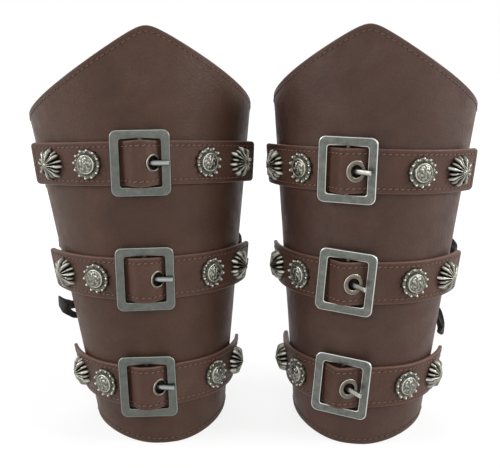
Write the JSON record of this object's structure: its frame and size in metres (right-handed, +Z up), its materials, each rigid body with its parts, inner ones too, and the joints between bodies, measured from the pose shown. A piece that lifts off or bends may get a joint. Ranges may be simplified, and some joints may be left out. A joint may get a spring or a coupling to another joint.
{
  "type": "pair of arm bracers",
  "caption": "Pair of upright leather forearm cuffs with pointed tops, buckled decorative straps, petalled and beaded conchos, and lacing at the back.",
  "frame": {"origin": "on the floor under the middle of the pair's bounding box", "axes": "+Z up, -Y towards the buckles and the viewer, +X to the viewer's right"},
  "size_m": [0.2795, 0.1356, 0.244],
  "materials": {
    "cuff_leather": "brown imitation leather, fine grain, satin",
    "cuff_lining": "matt suede-like lining",
    "strap_leather": "reddish brown leather, stitched edges, satin",
    "gunmetal": "dark satin plating",
    "old_silver": "aged silver plating with bright worn edges",
    "concho_metal": "aged silver casting, dark in its recesses",
    "eyelet_metal": "antique plating",
    "rivet_metal": "satin plating",
    "black_lace": "flat woven lace, matt"
  },
  "bodies": {
    "cuffs": {"left_cuff_leather": "cuff_leather", "left_cuff_lining": "cuff_lining", "left_concho_rivets": "rivet_metal", "left_lacing_eyelets": "eyelet_metal", "left_lace": "black_lace", "right_cuff_leather": "cuff_leather", "right_cuff_lining": "cuff_lining", "right_concho_rivets": "rivet_metal", "right_lacing_eyelets": "eyelet_metal", "right_lace": "black_lace", "left_upper_strap": "strap_leather", "left_upper_buckle_frame": "gunmetal", "left_upper_strap_eyelet": "eyelet_metal", "left_upper_petal_conchos": "concho_metal", "left_upper_round_conchos": "concho_metal", "left_middle_strap": "strap_leather", "left_middle_buckle_frame": "gunmetal", "left_middle_strap_eyelet": "eyelet_metal", "left_middle_petal_conchos": "concho_metal", "left_middle_round_conchos": "concho_metal", "left_lower_strap": "strap_leather", "left_lower_buckle_frame": "gunmetal", "left_lower_strap_eyelet": "eyelet_metal", "left_lower_petal_conchos": "concho_metal", "left_lower_round_conchos": "concho_metal", "right_upper_strap": "strap_leather", "right_upper_buckle_frame": "old_silver", "right_upper_strap_eyelet": "eyelet_metal", "right_upper_petal_conchos": "concho_metal", "right_upper_round_conchos": "concho_metal", "right_middle_strap": "strap_leather", "right_middle_buckle_frame": "old_silver", "right_middle_strap_eyelet": "eyelet_metal", "right_middle_petal_conchos": "concho_metal", "right_middle_round_conchos": "concho_metal", "right_lower_strap": "strap_leather", "right_lower_buckle_frame": "old_silver", "right_lower_strap_eyelet": "eyelet_metal", "right_lower_petal_conchos": "concho_metal", "right_lower_round_conchos": "concho_metal"},
    "left_upper_prong": {"left_upper_buckle_prong": "gunmetal"},
    "left_middle_prong": {"left_middle_buckle_prong": "gunmetal"},
    "left_lower_prong": {"left_lower_buckle_prong": "gunmetal"},
    "right_upper_prong": {"right_upper_buckle_prong": "old_silver"},
    "right_middle_prong": {"right_middle_buckle_prong": "old_silver"},
    "right_lower_prong": {"right_lower_buckle_prong": "old_silver"}
  },
  "joints": [
    {"name": "left_upper_prong_swing", "type": "hinge", "parent": "cuffs", "child": "left_upper_prong", "pos_m": [-0.06078, -0.0422, 0.16866], "axis": [0.0149, -0.0862, -0.9962], "range_deg": [0, 12]},
    {"name": "left_middle_prong_swing", "type": "hinge", "parent": "cuffs", "child": "left_middle_prong", "pos_m": [-0.05961, -0.0479, 0.10215], "axis": [0.0182, -0.0844, -0.9963], "range_deg": [0, 12]},
    {"name": "left_lower_prong_swing", "type": "hinge", "parent": "cuffs", "child": "left_lower_prong", "pos_m": [-0.05952, -0.05331, 0.03729], "axis": [0.0356, -0.0811, -0.9961], "range_deg": [0, 12]},
    {"name": "right_upper_prong_swing", "type": "hinge", "parent": "cuffs", "child": "right_upper_prong", "pos_m": [0.05462, -0.04714, 0.16548], "axis": [-0.0168, -0.0434, -0.9989], "range_deg": [-5, 15]},
    {"name": "right_middle_prong_swing", "type": "hinge", "parent": "cuffs", "child": "right_middle_prong", "pos_m": [0.05557, -0.05068, 0.10135], "axis": [-0.0744, -0.0232, -0.997], "range_deg": [-9, 15]},
    {"name": "right_lower_prong_swing", "type": "hinge", "parent": "cuffs", "child": "right_lower_prong", "pos_m": [0.05444, -0.05342, 0.03801], "axis": [-0.0739, -0.0218, -0.997], "range_deg": [-8, 15]}
  ]
}
